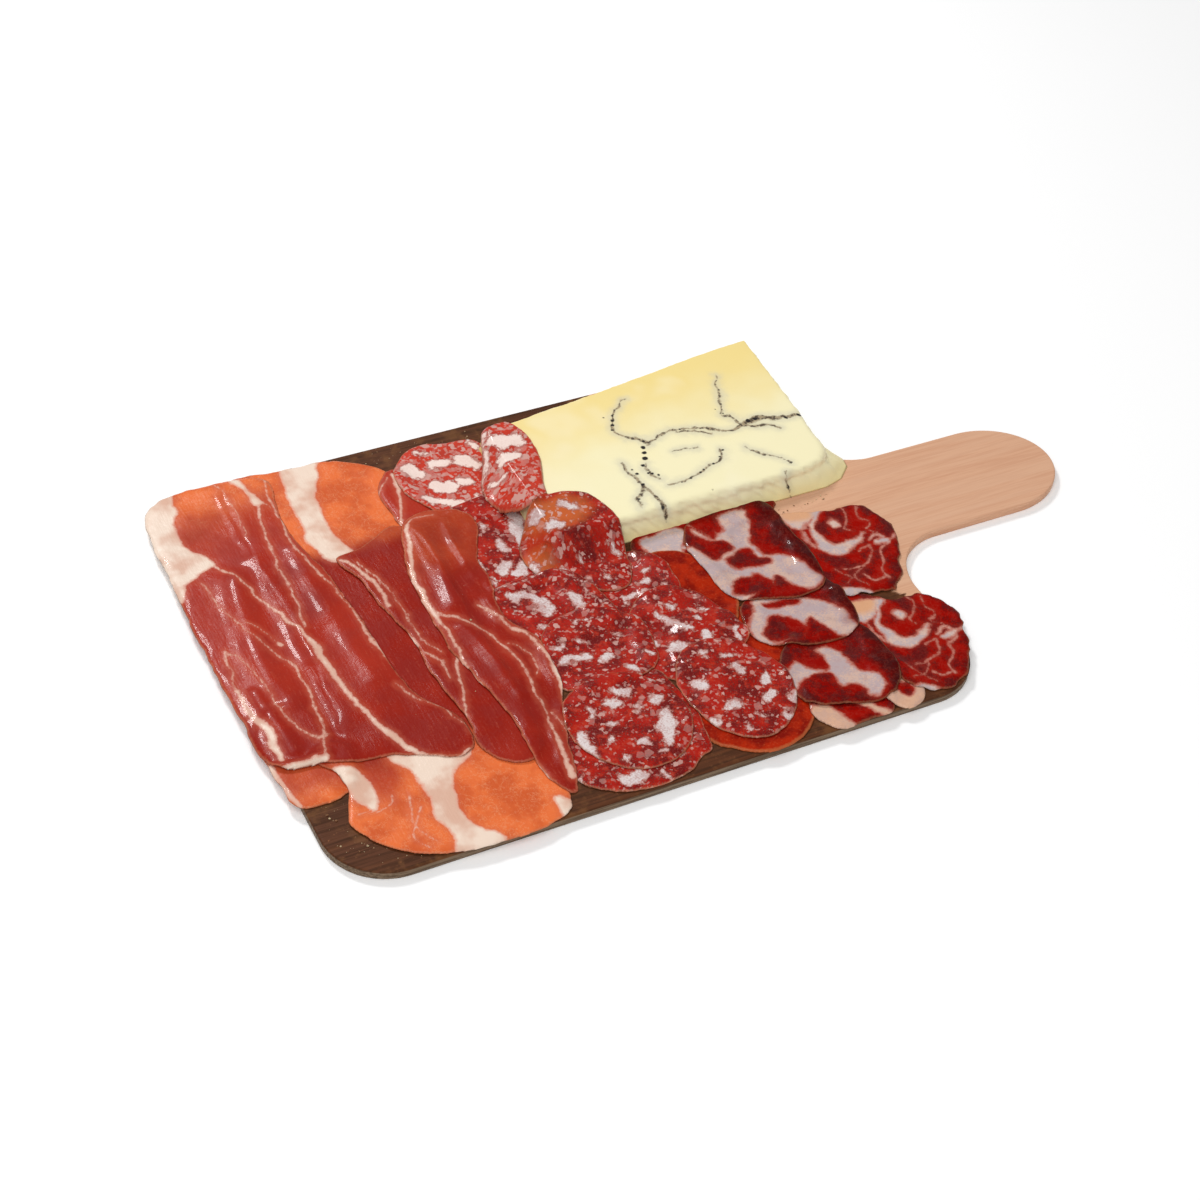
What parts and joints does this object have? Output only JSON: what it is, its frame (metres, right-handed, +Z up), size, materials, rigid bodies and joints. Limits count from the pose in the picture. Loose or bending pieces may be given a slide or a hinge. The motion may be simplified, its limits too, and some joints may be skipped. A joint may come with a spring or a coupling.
{
  "type": "charcuterie board",
  "caption": "Thin wooden paddle board with a tab handle, laid with a slab of truffle cheese and overlapping slices of cured ham, salami, lean cured loin and coppa.",
  "frame": {"origin": "centre of the blade on the underside of the board", "axes": "+X along the blade to the handle, +Y across it to the side with the cheese, +Z up"},
  "size_m": [0.378, 0.2243, 0.0188],
  "materials": {
    "wood": "dark stained blade, natural handle, satin",
    "cheese": "pale yellow paste with dark veins",
    "ham": "moist red lean with cream fat",
    "salami": "dark red with white fat grains",
    "cured_loin": "moist orange-red lean",
    "coppa": "deep red lean with pale marbling"
  },
  "bodies": {
    "root": {"board": "wood", "cheese_slab": "cheese", "coppa_foot_left": "coppa", "coppa_foot_right": "coppa", "coppa_handle_high": "coppa", "coppa_handle_low": "coppa", "coppa_row_1": "coppa", "coppa_row_2": "coppa", "coppa_row_3": "coppa", "coppa_under_cheese_edge": "coppa", "ham_left": "ham", "ham_middle": "ham", "ham_pale_end": "ham", "ham_right": "ham", "ham_under": "ham", "ham_under_left": "ham", "lean_slice_1": "cured_loin", "lean_slice_2": "cured_loin", "lean_slice_3": "cured_loin", "salami_folded": "salami", "salami_foot": "salami", "salami_left_1": "salami", "salami_left_2": "salami", "salami_left_3": "salami", "salami_left_4": "salami", "salami_on_cheese": "salami", "salami_right_1": "salami", "salami_right_2": "salami", "salami_right_3": "salami", "salami_top_left": "salami"}
  },
  "joints": []
}
